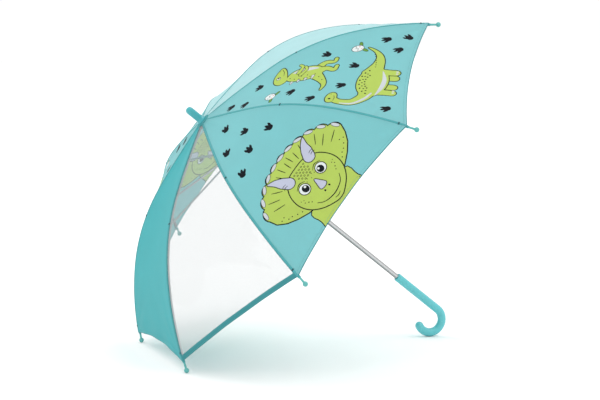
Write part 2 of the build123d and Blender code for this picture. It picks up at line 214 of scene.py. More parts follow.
class Tree:
    """A short way to write a node tree."""

    def __init__(self, name):
        self.material = bpy.data.materials.new(name)
        self.material.use_nodes = True
        self.nodes = self.material.node_tree.nodes
        self.links = self.material.node_tree.links
        self.nodes.clear()

    def add(self, kind, inputs=None, **settings):
        node = self.nodes.new(kind)
        for key, value in settings.items():
            setattr(node, key, value)
        for key, value in (inputs or {}).items():
            if isinstance(value, bpy.types.NodeSocket):
                self.links.new(value, node.inputs[key])
            else:
                node.inputs[key].default_value = value
        return node

    def math(self, operation, a, b=0.0):
        return self.add("ShaderNodeMath", {0: a, 1: b}, operation=operation).outputs[0]

    def noise(self, where, scale, detail=2.0, **more):
        inputs = {"Vector": where, "Scale": scale, "Detail": detail}
        inputs.update({key.capitalize(): value for key, value in more.items()})
        return self.add("ShaderNodeTexNoise", inputs).outputs["Fac"]

    def wave(self, where, scale, direction):
        node = self.add("ShaderNodeTexWave", {"Vector": where, "Scale": scale}, bands_direction=direction)
        return node.outputs["Fac"]

    def bump(self, height, strength, distance, **over):
        inputs = {"Height": height, "Strength": strength, "Distance": distance}
        inputs.update({key.capitalize(): value for key, value in over.items()})
        return self.add("ShaderNodeBump", inputs).outputs[0]

    def on_cloth(self):
        return self.add("ShaderNodeUVMap", uv_map="flat").outputs[0]

    def on_object(self):
        return self.add("ShaderNodeTexCoord").outputs["Object"]

    def blend(self, share, a, b):
        return self.add("ShaderNodeMixShader", {0: share, 1: a, 2: b}).outputs[0]

    def mix(self, share, a, b):
        node = self.add("ShaderNodeMix", data_type="RGBA")
        for socket, value in ((node.inputs[0], share), (node.inputs[6], a), (node.inputs[7], b)):
            if isinstance(value, bpy.types.NodeSocket):
                self.links.new(value, socket)
            elif isinstance(value, tuple):
                socket.default_value = (*value[:3], 1)
            else:
                socket.default_value = value
        return node.outputs[2]

    def finish(self, shader):
        self.add("ShaderNodeOutputMaterial", {"Surface": shader})
        return self.material


def scaled(rgb, k):
    return tuple(min(1.0, c * k) for c in rgb)


def cloth(name, rgb, through=0.3, rough=0.62, pitch=0.55, flat=True, print_coat=False):
    """Woven cloth, with its threads pitch millimetres apart; through is the share of light that passes."""
    t = Tree(name)
    colour = linear(rgb)
    where = t.on_cloth() if flat else t.on_object()
    scale = 2 * pi / (20 * pitch * MM)
    weave = t.math("MULTIPLY", t.wave(where, scale, "X"), t.wave(where, scale, "Y"))
    slub = t.noise(where, 900.0, 3.0)
    tone = t.noise(where, 14.0, 4.0)
    body = t.mix(tone, scaled(colour, 0.93), scaled(colour, 1.06))
    body = t.mix(t.math("MULTIPLY", slub, 0.25), body, scaled(colour, 1.18))
    # Darker in the gaps between the threads: painted shade in the weave's hollows.
    body = t.mix(t.math("MULTIPLY", t.math("SUBTRACT", 1.0, weave), 0.16), body, scaled(colour, 0.62))
    coarse = t.bump(weave, 0.3, 0.00008)
    fine = t.bump(slub, 0.15, 0.0001, normal=coarse)
    roughness = t.math("ADD", t.math("MULTIPLY", slub, 0.14), rough - 0.07)
    face = t.add("ShaderNodeBsdfPrincipled", {
        "Base Color": body, "Roughness": roughness, "Normal": fine,
        "Sheen Weight": 0.0 if print_coat else 0.14, "Sheen Roughness": 0.4,
        "Specular IOR Level": 0.12 if print_coat else 0.3}).outputs[0]
    glow = t.add("ShaderNodeBsdfTranslucent", {"Color": body, "Normal": fine}).outputs[0]
    return t.finish(t.blend(through, face, glow))


def film(name, seen=True):
    """Seen false is for the thin edge faces along a fold line, where the film goes on without a break."""
    t = Tree(name)
    where = t.on_cloth()
    soft = t.noise(where, 9.0, distortion=0.6)
    haze = t.noise(where, 40.0, 5.0)
    bump = t.bump(soft, 0.35, 0.004)
    white = t.add("ShaderNodeBsdfDiffuse", {"Color": (0.8, 0.84, 0.85, 1), "Normal": bump}).outputs[0]
    if not seen:
        plain = t.add("ShaderNodeBsdfTransparent", {"Color": (1, 1, 1, 1)}).outputs[0]
        return t.finish(t.blend(t.math("MULTIPLY", haze, 0.004), plain, white))
    clear = t.add("ShaderNodeBsdfTransparent", {"Color": (0.85, 0.856, 0.856, 1)}).outputs[0]
    gloss = t.add("ShaderNodeBsdfGlossy", {
        "Color": (1, 1, 1, 1), "Roughness": 0.07, "Normal": bump}).outputs[0]
    share = t.math("ADD", t.math("MULTIPLY", haze, 0.04), 0.07)
    return t.finish(t.blend(share, t.blend(0.075, clear, gloss), white))


def plastic(name, rgb, rough=0.28):
    t = Tree(name)
    colour = linear(rgb)
    where = t.on_object()
    scuff = t.noise(where, 160.0, 6.0, roughness=0.7)
    body = t.mix(t.noise(where, 35.0, 3.0), scaled(colour, 0.95), scaled(colour, 1.05))
    marks = t.math("MULTIPLY", t.math("GREATER_THAN", scuff, 0.69), 0.25)
    body = t.mix(marks, body, scaled(colour, 1.25))
    grain = t.bump(t.noise(where, 1400.0, 4.0), 0.12, 0.00006)
    roughness = t.math("ADD", t.math("MULTIPLY", scuff, 0.16), rough - 0.08)
    return t.finish(t.add("ShaderNodeBsdfPrincipled", {
        "Base Color": body, "Roughness": roughness, "Normal": grain, "Specular IOR Level": 0.5,
        "Coat Weight": 0.25, "Coat Roughness": 0.12}).outputs[0])


def metal(name, rgb, rough=0.22, metallic=1.0, spotted=60.0, painted_reflection_axis=None):
    """Given a direction, a tube's colour is painted lightest on the sides that face along it and dark between
    them: a painted reflection.
    """
    t = Tree(name)
    colour = linear(rgb)
    where = t.on_object()
    spots = t.noise(where, spotted, 5.0, roughness=0.65)
    body = t.mix(spots, scaled(colour, 0.88), scaled(colour, 1.08))
    if painted_reflection_axis is not None:
        # Painted reflection: the colour darkens to 0.3 of itself as the normal turns away from the direction.
        normal = t.add("ShaderNodeTexCoord").outputs["Normal"]
        facing = t.add("ShaderNodeVectorMath", {0: normal, 1: tuple(painted_reflection_axis)}, operation="DOT_PRODUCT")
        facing = t.math("POWER", t.math("ABSOLUTE", facing.outputs["Value"]), 3.0)
        body = t.mix(facing, scaled(colour, 0.3), body)
    roughness = t.math("ADD", t.math("MULTIPLY", spots, 0.14), rough - 0.06)
    bump = t.bump(t.noise(where, 700.0, 4.0), 0.08, 0.00005)
    return t.finish(t.add("ShaderNodeBsdfPrincipled", {
        "Base Color": body, "Roughness": roughness, "Normal": bump, "Metallic": metallic}).outputs[0])


# The cloth's colour, and each plain gore's colour. All gores are one teal cloth: gore 1 is painted darker as
# painted shade, and gores 5 and 6 are painted lighter as painted light, for how the light falls on them.
TEAL = (148, 214, 217)
PAINTED_SHADE_TEAL, PLAIN, PAINTED_LIGHT_TEAL = (84, 198, 202), (150, 213, 216), (196, 230, 232)
CLOTH_COLOURS_WITH_PAINTED_LIGHT = {1: PAINTED_SHADE_TEAL, 3: TEAL, 4: PLAIN, 5: PAINTED_LIGHT_TEAL, 6: PAINTED_LIGHT_TEAL, 7: TEAL, 8: PLAIN}
PRINT_COLOURS = {
    "green": (200, 218, 112), "pale": (222, 222, 226), "lilac": (212, 212, 228), "white": (244, 245, 244),
    "ink": (12, 20, 26), "navy": (8, 14, 22), "rose": (238, 170, 160), "leaf": (120, 168, 76)}
DARK = ("ink", "navy")
INKS = {name: cloth(f"print {name}", rgb, 0.03 if name in DARK else 0.4, 0.62, print_coat=True)
        for name, rgb in PRINT_COLOURS.items()}


def faded(rgb, share=0.68):
    """A print's colour as it shows through on the cloth's inner face."""
    return tuple(share * a + (1 - share) * b for a, b in zip(rgb, TEAL))


REVERSE = {name: cloth(f"print {name} from behind", faded(rgb), 0.42)
           for name, rgb in PRINT_COLOURS.items()}
# The dark tape colour is the binding round a window, and painted shade along every hem's edge.
TAPE_AND_HEM_SHADE = cloth("binding tape and painted hem shade", (56, 142, 147), 0.1, 0.6, pitch=0.7)
SEAM = cloth("seam binding", (78, 168, 172), 0.12, 0.6, flat=False)
THREAD = cloth("sewing thread", (88, 172, 174), 0.05, 0.5, pitch=0.2, flat=False)
TIE = cloth("tie thread", (30, 70, 78), 0.02, 0.55, pitch=0.2, flat=False)
FILM = film("clear film")
FILM_FOLD = film("clear film on the fold line", False)

# A gore's material slots: its own cloth or film, then these. On the inner face a print has its faded colour.
COLOURS = ["cloth", *INKS, "tape", "thread"]
GORE_MATERIALS = [*INKS.values(), TAPE_AND_HEM_SHADE, THREAD, *REVERSE.values(), FILM_FOLD]
FOLD_SLOT = len(GORE_MATERIALS)
BEHIND = np.array([len(COLOURS) + i - 1 if 1 <= i <= len(INKS) else i for i in range(len(COLOURS))])


# ---- flat artwork: layers of (colour, polygon) in the gore's flat millimetres ----
def smooth(points, closed=True, steps=7):
    p = np.array(points, float)
    n = len(p)
    out = []
    for i in range(n if closed else n - 1):
        a, b, c, d = (p[(i + k) % n] if closed else p[min(max(i + k, 0), n - 1)] for k in (-1, 0, 1, 2))
        for j in range(steps):
            t = j / steps
            square, cube = 2 * a - 5 * b + 4 * c - d, 3 * b - a - 3 * c + d
            out.append(0.5 * (2 * b + (c - a) * t + square * t**2 + cube * t**3))
    if not closed:
        out.append(p[-1])
    return np.array(out)


def oval(x, y, rx, ry, turn=0.0, steps=22):
    a = np.linspace(0, 2 * pi, steps, endpoint=False)
    px, py = rx * np.cos(a), ry * np.sin(a)
    c, s = cos(radians(turn)), sin(radians(turn))
    return np.stack([x + px * c - py * s, y + px * s + py * c], 1)


def taper(points, widths, steps=6):
    """A rounded stroke along a smooth line whose width runs through widths."""
    line = smooth(points, False, steps)
    s = np.linspace(0, 1, len(line))
    width = np.interp(s, np.linspace(0, 1, len(widths)), widths) / 2
    direction = np.gradient(line, axis=0)
    direction /= np.linalg.norm(direction, axis=1)[:, None]
    left = np.stack([-direction[:, 1], direction[:, 0]], 1)

    def cap(centre, ahead, side, radius):
        if radius < 0.4:
            return centre[None]
        a = np.linspace(0, pi, 7)[1:-1]
        return centre + radius * (np.cos(a)[:, None] * side + np.sin(a)[:, None] * ahead)

    return np.concatenate([
        line + left * width[:, None], cap(line[-1], direction[-1], left[-1], width[-1]),
        (line - left * width[:, None])[::-1], cap(line[0], -direction[0], -left[0], width[0])])


def signed_area(polygon):
    x, y = polygon[:, 0], polygon[:, 1]
    return 0.5 * float((x * np.roll(y, -1) - np.roll(x, -1) * y).sum())


def grown(polygon, by):
    """The polygon with its edge moved out by a width."""
    p = polygon if signed_area(polygon) > 0 else polygon[::-1]
    edge = np.roll(p, -1, axis=0) - np.roll(p, 1, axis=0)
    edge /= np.maximum(np.linalg.norm(edge, axis=1), 1e-9)[:, None]
    return p + by * np.stack([edge[:, 1], -edge[:, 0]], 1)


class Art:
    """Layers drawn with x to the right and y up, put on the gore with up towards the crown."""

    def __init__(self):
        self.layers = []
        self.at, self.turn, self.size = (0, 0), 0.0, 1.0

    def place(self, x, y, turn=0.0, size=1.0):
        self.at, self.turn, self.size = (x, y), radians(turn), size

    def put(self, colour, polygon):
        c, s = cos(self.turn), sin(self.turn)
        x = self.size * (polygon[:, 0] * c - polygon[:, 1] * s)
        y = self.size * (polygon[:, 0] * s + polygon[:, 1] * c)
        self.layers.append((colour, np.stack([self.at[0] + x, self.at[1] - y], 1)))

    def body(self, colour, *shapes, line=1.45):
        """Shapes of one colour with one dark outline round all of them."""
        for shape in shapes:
            self.put("ink", grown(shape, line))
        for shape in shapes:
            self.put(colour, shape)

    def line(self, points, width=1.3):
        self.put("ink", taper(points, (width * 0.5, width, width * 0.5)))


def mirrored(polygon):
    return polygon * np.array([-1.0, 1.0])


def unmirrored(polygon):
    return polygon


def spots(art, places, rx, ry):
    for x, y in places:
        art.put("ink", oval(x, y, rx, ry, steps=7))


def frill(art):
    """A fan with a scalloped rim, a pale scute on each scallop and a line between them."""
    bumps, wide, tall = 11, 91, 70
    low, high = 10, 168

    def reach(a):
        return wide * tall / np.hypot(tall * np.cos(a), wide * np.sin(a))

    angle = np.linspace(radians(low), radians(high), 12 * bumps + 1)
    share = np.linspace(0, bumps, len(angle))
    rim = reach(angle) + 5.0 * np.abs(np.sin(pi * share)) ** 0.8
    fan = np.stack([rim * np.cos(angle), 2 + rim * np.sin(angle)], 1)
    below = [(-86, 8), (-76, -4), (-62, -14), (-46, -22), (-20, -30),
             (20, -30), (44, -22), (60, -14), (74, -4), (84, 8)]
    art.body("green", np.concatenate([fan, below]), line=1.8)
    for k in range(bumps):
        a = radians(low + (high - low) * (k + 0.5) / bumps)
        rho = reach(a) + 2.0
        scute = oval(rho * cos(a), 2 + rho * sin(a), 2.7, 7.2, np.degrees(a), 14)
        art.body("pale", scute, line=0.7)
    for k in range(14):
        a = radians(low + 4 + (high - low - 8) * k / 13)
        inner, outer = (0.64, 0.86) if k % 2 else (0.7, 0.92)
        bend = 0.05 * (1 if cos(a) > 0 else -1)
        points = []
        for f in (inner, (inner + outer) / 2, outer):
            bent = a + bend * (f - inner) * 3
            points.append((f * reach(a) * cos(bent), 2 + f * reach(a) * sin(bent)))
        art.line(points, 1.5)


def horned_head(art):
    """A front view of a made-up horned dinosaur: a fan frill, two brow horns and a small nose horn."""
    art.place(-4, 314)
    neck = [(-40, -24), (-47, -48), (-55, -78), (-58, -110), (50, -110), (46, -76), (40, -50), (36, -24)]
    art.body("green", smooth(neck, True, 4))
    spots(art, ((-45, -56), (-49, -62), (-46, -66), (-52, -71)), 0.9, 0.9)
    spots(art, ((39, -54), (42, -60), (40, -66), (44, -72)), 0.9, 0.9)
    frill(art)
    spots(art, ((-78, 5), (-70, -2), (-64, -4), (-57, -9), (-72, 6), (-50, -13)), 1.1, 0.9)
    spots(art, ((76, 5), (69, -1), (62, -6), (56, -8), (70, 8), (50, -13)), 1.1, 0.9)
    face = [(0, 40), (22, 37), (38, 22), (45, 0), (41, -20), (28, -36), (10, -46)]
    outline = smooth(face + [(0, -48)] + [(-x, y) for x, y in reversed(face[1:])], True, 6)
    art.body("green", outline, line=1.6)
    for side in (1, -1):
        flip = unmirrored if side == 1 else mirrored
        horn = taper([(25, 33), (31, 44), (36, 53), (44, 62)], (18, 16, 10, 1.6))
        art.body("lilac", flip(horn), line=1.3)
        for height in (37, 41):
            groove = [(29, height - 4), (34, height - 3), (38, height - 5)]
            art.put("ink", flip(taper(groove, (0.6, 1.0, 0.5))))
        art.body("white", flip(oval(20, 6, 8.4, 8.8)), line=1.3)
        art.put("ink", flip(oval(18.6, 5.4, 5.6, 6.4)))
        art.put("white", flip(oval(17.0, 8.2, 1.9, 2.1, steps=12)))
        art.put("ink", flip(taper([(10, 14), (19, 18.4), (29, 14)], (0.6, 1.6, 0.6))))
        art.put("ink", flip(oval(5.2, -22, 1.5, 1.9, 20, steps=10)))
        for x, y, r in ((33, -12, 1.0), (37, -8, 0.9), (35, -4, 0.8), (30, -16, 0.9), (39, -2, 0.7)):
            art.put("ink", flip(oval(x, y, r, r, steps=7)))
    nose_horn = smooth([(-6.5, -15), (-4, -6), (0, 3), (4, -6), (6.5, -15), (0, -17.5)], True, 5)
    art.body("lilac", nose_horn, line=1.2)
    art.line([(-27, -24), (-18, -33), (0, -37), (18, -33), (27, -24)], 1.7)
    art.line([(-6, -42), (0, -43.5), (6, -42)], 1.2)
    for row, count in enumerate((5, 4, 5, 4, 3)):
        for k in range(count):
            x, y = (k - (count - 1) / 2) * 5.6, 34 - row * 4.6
            art.put("ink", oval(x, y, 1.7, 1.45, steps=9))
            art.put("green", oval(x, y, 0.95, 0.8, steps=8))
    spots(art, ((9, 10), (-9, 10), (0, 8), (5, 13), (-5, 13)), 0.8, 0.8)


def long_neck(art):
    """A made-up four-legged dinosaur with a long neck and tail, seen from the side."""
    art.place(-36, 315)
    legs = [taper([(x, -8), (x - 1, -22), (x - 1, -33)], (15, 13, 13)) for x in (-24, -9, 15, 29)]
    art.body("green", legs[1], legs[2])
    torso = oval(2, 0, 39, 24, -4, 30)
    neck = taper([(-18, 4), (-38, 8), (-52, 24), (-50, 44), (-42, 55)], (30, 20, 14, 11, 11))
    head = oval(-38, 58, 13, 8.6, -10)
    tail = taper([(24, 4), (48, -3), (68, -3), (83, 5), (93, 18)], (32, 18, 11, 6, 2))
    art.body("green", torso, neck, head, tail, legs[0], legs[3])
    art.put("pale", smooth([(-34, -8), (-14, -18.5), (10, -20.5), (32, -12), (10, -14), (-12, -12)], True, 5))
    art.put("pale", taper([(-28, -2), (-45, 8), (-56, 24), (-54, 42)], (3, 5, 4, 2)))
    for x in (-24, -19, 26, 31):
        art.put("pale", oval(x, -34.5, 1.7, 2.2, steps=9))
    art.put("ink", oval(-41, 60, 1.8, 2.2, steps=11))
    art.line([(-47, 54), (-40, 52.5), (-33, 54)], 1.0)
    art.put("ink", oval(-29, 59, 0.8, 0.8, steps=7))
    for k in range(22):
        a = radians(25 + 135 * k / 21)
        radius = (0.84, 0.5, 0.67)[k % 3]
        x, y = 2 + 39 * radius * cos(a), 24 * radius * sin(a)
        art.put("ink", oval(x, y, 1.7 - 0.3 * (k % 3), 1.4, steps=8))
    for k in range(7):
        art.put("ink", oval(42 + 5.6 * k, 1.0 + 0.0045 * (5.6 * k) ** 2, 1.1, 1.0, steps=7))


def walker(art):
    """A made-up two-legged dinosaur, seen from the side."""
    art.place(2, 204, 4)
    tail = taper([(-6, -14), (-24, -26), (-40, -32), (-54, -28)], (22, 13, 7, 2))
    far_leg = taper([(8, -18), (20, -30), (19, -44), (27, -47)], (15, 9, 6, 6))
    art.body("green", far_leg)
    trunk = [(0, 34), (14, 26), (19, 4), (15, -18), (2, -28), (-12, -22), (-16, -2), (-11, 22)]
    torso = smooth(trunk, True, 5)
    head = smooth([(-8, 46), (2, 57), (18, 58), (33, 50), (36, 43), (26, 37), (8, 34), (-4, 35)], True, 5)
    near_leg = taper([(-2, -16), (4, -32), (-3, -45), (7, -49)], (20, 10, 7, 6))
    art.body("green", tail, torso, head, near_leg)
    art.put("pale", smooth([(13, 24), (17, 6), (14, -12), (8, -20), (8, 0), (9, 18)], True, 5))
    art.body("green", taper([(9, 14), (22, 8), (29, 13)], (7, 5, 4)), line=1.0)
    art.body("green", taper([(2, 10), (13, 1), (21, 3)], (7, 5, 4)), line=1.0)
    art.body("white", oval(12, 50, 3.0, 3.2, steps=14), line=0.9)
    art.put("ink", oval(13, 50, 1.7, 2.0, steps=10))
    art.line([(14, 41), (25, 41.5), (33, 45)], 1.1)
    art.put("ink", oval(31, 49, 0.8, 0.8, steps=7))
    back = ((-6, 20), (-9, 12), (-11, 3), (-10, -7), (-6, -15), (-3, 8), (-4, -2), (-16, -22), (-26, -28),
            (0, 28))
    for x, y in back:
        art.put("ink", oval(x, y, 1.2, 1.0, steps=8))
    for k in range(4):
        art.body("pale", taper([(-10 - 3 * (k < 3), 24 - 12 * k), (-17, 26 - 12 * k)], (5, 1.2)), line=0.7)


def egg(art, x, y, turn):
    """An egg with a zigzag crack, on two leaves."""
    art.place(x, y, turn)
    art.body("leaf", oval(-9, -7, 6.5, 2.6, 25, 14), oval(8, -8, 6.0, 2.4, -20, 14), line=0.7)
    art.body("white", oval(0, 1, 7.6, 9.6, 0, 22), line=0.9)
    art.line([(-7, 1), (-4, 3.6), (-1, 0.6), (2, 3.8), (5, 0.8), (7, 2.6)], 0.8)
    art.put("rose", oval(3, -3.4, 1.5, 1.3, steps=9))
    art.put("rose", oval(-3, -4.2, 1.1, 1.1, steps=9))


def track(art, x, y, turn, size=1.0):
    """A three-toed footprint."""
    art.place(x, y, turn, size)
    art.put("navy", oval(0, -3.0, 5.2, 4.3, steps=16))
    for side in (-1, 0, 1):
        lead = 2.0 * (side == 0)
        toe = [(side * 2.4, -1.8), (side * 5.0, 3.6 + lead), (side * 6.0, 7.0 + lead)]
        art.put("navy", taper(toe, (4.8, 4.6, 1.4), 4))


def head_print():
    art = Art()
    for x, y, turn in ((0, 88, -20), (9, 139, 22), (31, 183, 10), (-35, 136, -35), (-14, 177, -8),
                       (-52, 198, -30)):
        track(art, x, y, turn)
    horned_head(art)
    return art.layers


def walk_print():
    art = Art()
    tracks = ((-12, 66, 15), (-25, 97, 30), (8, 118, -15), (-40, 186, 35), (-70, 224, 20), (46, 231, -30),
              (-42, 268, 10), (10, 281, -20), (80, 322, 25), (89, 355, -35), (54, 344, 40), (-101, 345, 30))
    for x, y, turn in tracks:
        track(art, x, y, turn)
    egg(art, -36, 149, -25)
    egg(art, 56, 280, 30)
    walker(art)
    long_neck(art)
    return art.layers


PRINTS = {3: head_print, 7: head_print, 4: walk_print, 8: walk_print}


def inside(polygon, x, y):
    """Which points lie in a polygon, by winding number."""
    found = np.zeros(len(x), int)
    low, high = polygon.min(0), polygon.max(0)
    near = np.flatnonzero((x > low[0]) & (x < high[0]) & (y > low[1]) & (y < high[1]))
    if not len(near):
        return found != 0
    px, py = x[near], y[near]
    turns = np.zeros(len(near), int)
    for (x0, y0), (x1, y1) in zip(polygon, np.roll(polygon, -1, axis=0)):
        side = (x1 - x0) * (py - y0) - (px - x0) * (y1 - y0)
        turns += ((y0 <= py) & (y1 > py) & (side > 0)).astype(int)
        turns -= ((y0 > py) & (y1 <= py) & (side < 0)).astype(int)
    found[near] = turns
    return found != 0


# ---- mesh building ----
class Mesh:
    """Gathers points with their normals and flat places, and faces with their material slots."""

    def __init__(self):
        self.points, self.normals, self.faces, self.slots, self.flat = [], [], [], [], []
        self.count = 0

    def add(self, points, faces, slot=0, normals=None, flat=None):
        points = np.asarray(points, float)
        self.points.append(points)
        self.normals.append(np.zeros_like(points) if normals is None else np.asarray(normals, float))
        self.flat.append(np.zeros((len(points), 2)) if flat is None else np.asarray(flat, float))
        self.faces.extend([tuple(int(i) + self.count for i in face) for face in faces])
        self.slots.extend([slot] * len(faces) if isinstance(slot, int) else list(slot))
        self.count += len(points)

    def build(self, name, materials):
        points, normals, flat = (np.concatenate(part) for part in (self.points, self.normals, self.flat))
        mesh = bpy.data.meshes.new(name)
        mesh.from_pydata(points.tolist(), [], self.faces)
        for material in materials:
            mesh.materials.append(material)
        mesh.polygons.foreach_set("material_index", np.array(self.slots, np.int32))
        mesh.polygons.foreach_set("use_smooth", np.full(len(self.faces), True))
        uv = mesh.uv_layers.new(name="flat")
        loops = np.zeros(len(mesh.loops), np.int32)
        mesh.loops.foreach_get("vertex_index", loops)
        uv.data.foreach_set("uv", (flat[loops] * MM).ravel().astype(np.float32))
        mesh.update()
        if np.abs(normals).sum() > 0:
            own = np.zeros(len(mesh.vertices) * 3)
            mesh.vertices.foreach_get("normal", own)
            missing = np.linalg.norm(normals, axis=1) < 0.5
            normals[missing] = own.reshape(-1, 3)[missing]
            mesh.normals_split_custom_set_from_vertices(normals.tolist())
        thing = bpy.data.objects.new(name, mesh)
        bpy.context.scene.collection.objects.link(thing)
        return thing


def ring_faces(rings, sides):
    """The walls and both ends of a tube whose points are rings, each with that many sides."""
    faces = []
    for i in range(rings - 1):
        for k in range(sides):
            a, b = i * sides + k, i * sides + (k + 1) % sides
            faces.append((a, b, b + sides, a + sides))
    last = (rings - 1) * sides
    return faces + [tuple(range(sides))[::-1], tuple(last + k for k in range(sides))]


STITCH_RINGS = ((0.0, 0.25), (0.25, 0.95), (0.75, 0.95), (1.0, 0.25))
STITCH_SIDES = 6
STITCH_FACES = ring_faces(len(STITCH_RINGS), STITCH_SIDES)


def stitch(mesh, slot, start, end, normal, radius):
    """One stitch: a short lens of thread that lies on the cloth."""
    along = end - start
    side = np.cross(normal, unit(along))
    rings = []
    for share, swell in STITCH_RINGS:
        centre = start + along * share + normal * radius * (0.9 * swell - 0.2)
        for k in range(STITCH_SIDES):
            a = 2 * pi * k / STITCH_SIDES
            rings.append(centre + radius * swell * (cos(a) * side + sin(a) * normal))
    mesh.add(np.array(rings), STITCH_FACES, slot)


def stitch_row(mesh, slot, points, normals, pitch=2.5 * MM, share=0.68, radius=0.17 * MM):
    """A row of stitches along a line of points on the cloth."""
    steps = np.linalg.norm(np.diff(points, axis=0), axis=1)
    length = np.concatenate([[0], np.cumsum(steps)])
    for k in range(int(length[-1] / pitch)):
        ends = np.array([k * pitch, (k + share) * pitch])
        p = np.stack([np.interp(ends, length, points[:, i]) for i in range(3)], 1)
        n = unit(np.array([np.interp(ends.mean(), length, normals[:, i]) for i in range(3)]))
        stitch(mesh, slot, p[0], p[1], n, radius)


class Layout:
    """Points and edges of a flat drawing, to be filled with triangles."""

    def __init__(self):
        self.points, self.edges = [], []

    def chain(self, line, closed=False):
        start, n = len(self.points), len(line)
        self.points.extend((float(x), float(y)) for x, y in line)
        self.edges.extend((start + i, start + i + 1) for i in range(n - 1))
        if closed:
            self.edges.append((start + n - 1, start))

    def triangles(self):
        found = delaunay_2d_cdt([Vector(p) for p in self.points], self.edges, [], 0, 1e-4, False)
        return np.array([tuple(v) for v in found[0]]), np.array([f for f in found[2] if len(f) == 3])


def seam_edge(y):
    """|x| where a gore ends beside the seam."""
    return float(half_width(y)) - SEAM_GAP


def gore_lines(panel, layers):
    """A grid inside the gore, its edges, its hem with the strip of painted hem shade, the window bindings, its
    fold line and its print.
    """
    layout = Layout()
    y0 = float(at_station(INNER_STATION))
    hx, hy = HEMS[panel]
    band = WINDOW_BAND if panel in WINDOWS else HEM_BAND
    rows = np.concatenate([np.linspace(y0, 60, 14), np.arange(66, float(hy.max()), 6.0)])
    for y in rows:
        width = seam_edge(y)
        count = max(1, int(round(width / 6.0)))
        for x in np.linspace(-width, width, 2 * count + 1)[1:-1]:
            if hem_distance(panel, x, y) > band + 2.0 and abs(x) > 1e-6:
                layout.points.append((float(x), float(y)))
    y_side = np.concatenate([rows[rows < hy[-1] - 1], [hy[-1]]])
    for side in (-1, 1):
        layout.chain([(side * seam_edge(y), y) for y in y_side])
        layout.chain([(side * x, y) for x, y in zip(hx, hy)])
        for inset in (band, band - 0.8, HEM_EDGE):
            line = [(side * x, y - inset) for x, y in zip(hx, hy) if x < hx[-1] - 1.0]
            layout.chain(line + [(side * hx[-1], hy[-1] - inset)])
        if panel in WINDOWS:
            for inset in (2.6, 3.2):
                line = [y for y in y_side if half_width(y) > inset + 1]
                layout.chain([(side * (float(half_width(y)) - inset), y) for y in line])
    layout.chain([(0.0, y) for y in rows if y < hy[0] - 1] + [(0.0, float(hy[0]))])
    layout.chain([(x, y0) for x in np.linspace(-1, 1, 5) * seam_edge(y0)])
    for colour, polygon in layers:
        layout.chain(polygon, True)
    return layout


def gore_layout(panel):
    """Flat points, triangles, each triangle's colour and the x of its middle, for a whole gore."""
    layers = PRINTS[panel]() if panel in PRINTS else []
    flat, triangles = gore_lines(panel, layers).triangles()
    a, b, c = (flat[triangles[:, k]] for k in range(3))
    turn = (b[:, 0] - a[:, 0]) * (c[:, 1] - a[:, 1]) - (b[:, 1] - a[:, 1]) * (c[:, 0] - a[:, 0])
    triangles[turn < 0] = triangles[turn < 0][:, ::-1]
    centre = (a + b + c) / 3
    x, y = centre[:, 0], centre[:, 1]
    keep = (np.abs(turn) > 1e-5) & (np.abs(x) < half_width(y) - SEAM_GAP)
    keep &= (y > float(at_station(INNER_STATION))) & (hem_distance(panel, x, y) > 0)
    triangles, x, y = triangles[keep], x[keep], y[keep]
    colour = np.zeros(len(x), int)
    for name, polygon in layers:
        colour[inside(polygon, x, y)] = COLOURS.index(name)
    hem = hem_distance(panel, x, y)
    # A strip along the hem is painted in the dark tape colour: painted shade.
    colour[hem < HEM_EDGE] = COLOURS.index("tape")
    if panel in WINDOWS:
        bound = (hem < WINDOW_BAND - 0.4) | (half_width(y) - np.abs(x) < SEAM_TAPE)
        colour[bound] = COLOURS.index("tape")
    return flat, triangles, colour, x


def thickening(panel, xy):
    """How much the folded hem, or the binding round a window, stands up on each face."""
    hem = hem_distance(panel, xy[:, 0], xy[:, 1])
    if panel not in WINDOWS:
        return 0.32 * ramp(HEM_BAND - hem, 0.0, 0.8)
    seam = half_width(xy[:, 1]) - np.abs(xy[:, 0])
    return 0.3 * np.maximum(ramp(WINDOW_BAND - hem, 0.0, 0.8), ramp(3.2 - seam, 0.0, 0.6))


def add_cloth(mesh, panel, xy, faces, slots):
    """Both faces of the cloth and the rim between them."""
    lift = thickening(panel, xy)
    outer, normals = cloth_point(panel, xy[:, 0], xy[:, 1], lift)
    inner = outer - normals * ((CLOTH_THICKNESS + 2 * lift) * MM)[:, None]
    n = len(xy)
    a, b, c = (outer[faces[:, k]] for k in range(3))
    facing = (np.cross(b - a, c - a) * normals[faces[:, 0]]).sum(1)
    faces[facing < 0] = faces[facing < 0][:, ::-1]
    edges = np.concatenate([faces[:, [0, 1]], faces[:, [1, 2]], faces[:, [2, 0]]])
    owner = np.concatenate([slots] * 3)
    _, first, times = np.unique(np.sort(edges, axis=1), axis=0, return_index=True, return_counts=True)
    border = first[times == 1]
    ends = edges[border]
    rim = [(int(q), int(p), int(p) + n, int(q) + n) for p, q in ends]
    back = [tuple(int(i) + n for i in f[::-1]) for f in faces]
    on_fold = (np.abs(xy[ends, 0]) < 1e-3).all(1) & (owner[border] == 0) & (panel in WINDOWS)
    rim_slots = np.where(on_fold, FOLD_SLOT, owner[border])
    mesh.add(np.concatenate([outer, inner]), [tuple(f) for f in faces] + back + rim,
             np.concatenate([slots, BEHIND[slots], rim_slots]),
             np.concatenate([normals, -normals]), np.concatenate([xy, xy]))


def add_hem_stitches(mesh, panel, sign):
    hx, hy = HEMS[panel]
    share = np.linspace(0.02, 1, 90)
    x = sign * np.interp(share, np.linspace(0, 1, len(hx)), hx)
    hem_y = np.interp(share, np.linspace(0, 1, len(hy)), hy)
    for inset in ((WINDOW_BAND - 1.6, 1.8) if panel in WINDOWS else (HEM_BAND - 1.5,)):
        y = hem_y - inset
        sewn = np.abs(x) < half_width(y) - 1.0
        top, normals = cloth_point(panel, x[sewn], y[sewn], 0.33)
        stitch_row(mesh, COLOURS.index("thread"), top, normals)
        below = top - normals * (CLOTH_THICKNESS + 0.66) * MM
        stitch_row(mesh, COLOURS.index("thread"), below, -normals)


